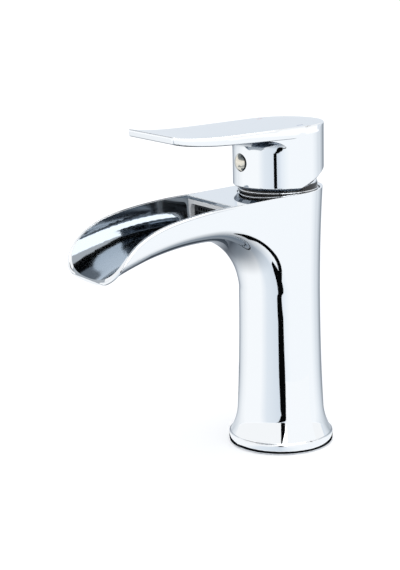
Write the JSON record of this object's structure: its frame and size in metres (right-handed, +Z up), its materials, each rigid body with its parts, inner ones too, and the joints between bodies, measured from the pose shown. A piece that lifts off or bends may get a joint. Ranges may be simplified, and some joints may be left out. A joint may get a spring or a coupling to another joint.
{
  "type": "basin faucet",
  "caption": "Single-lever basin mixer tap with an open trough spout, a round flared column and a flat lever handle on a ceramic disc valve.",
  "frame": {"origin": "middle of the foot, on the deck face", "axes": "+Z up the column, -Y towards the spout's tip, +X to the right of someone facing the spout"},
  "size_m": [0.052, 0.132, 0.1606],
  "materials": {
    "chrome_casting": "polished chrome plate on cast brass",
    "chrome_handle": "polished chrome plate on cast zinc",
    "chrome_trim": "polished chrome plate",
    "black_mesh": "moulded black mesh",
    "rubber": "black nitrile rubber",
    "brass": "machined brass",
    "copper": "drawn copper tube",
    "cartridge_plastic": "moulded acetal",
    "carrier_plastic": "moulded acetal",
    "rotor_plastic": "moulded glass-filled nylon",
    "ceramic": "lapped alumina ceramic",
    "steel": "stainless steel",
    "plug_metal": "polished nickel-plated plug",
    "red_enamel": "red enamel fill",
    "blue_enamel": "blue enamel fill"
  },
  "bodies": {
    "root": {"body_casting": "chrome_casting", "outlet_frame": "chrome_trim", "outlet_grille": "black_mesh", "outlet_seal": "rubber", "base_insert": "brass", "base_gasket": "rubber", "hot_inlet_tube": "copper", "cold_inlet_tube": "copper", "inlet_tube_seals": "rubber", "cartridge_base": "cartridge_plastic", "cartridge_port_seals": "rubber", "disc_seals": "rubber", "fixed_disc": "ceramic", "cartridge_casing": "cartridge_plastic", "casing_o_ring": "rubber", "retaining_nut": "brass", "trim_ring": "chrome_trim"},
    "rotor": {"rotor": "rotor_plastic", "pivot_pin": "steel"},
    "disc": {"moving_disc": "ceramic", "disc_carrier": "carrier_plastic"},
    "handle": {"stem": "brass", "handle": "chrome_handle", "set_screw": "steel", "index_plug": "plug_metal", "hot_mark": "red_enamel", "cold_mark": "blue_enamel"}
  },
  "joints": [
    {"name": "temperature_turn", "type": "hinge", "parent": "root", "child": "rotor", "pos_m": [0, 0, 0.129], "axis": [0, 0, 1], "range_deg": [-45, 45]},
    {"name": "lever_lift", "type": "hinge", "parent": "rotor", "child": "handle", "pos_m": [0, 0, 0.129], "axis": [-1, 0, 0], "range_deg": [0, 22]},
    {"name": "disc_slide", "type": "slide", "parent": "rotor", "child": "disc", "axis": [0, -1, 0], "range_m": [0, 0.00529]}
  ],
  "couplings": [
    {"joint": "disc_slide", "follows": "lever_lift", "m_per_rad": 0.013659}
  ]
}
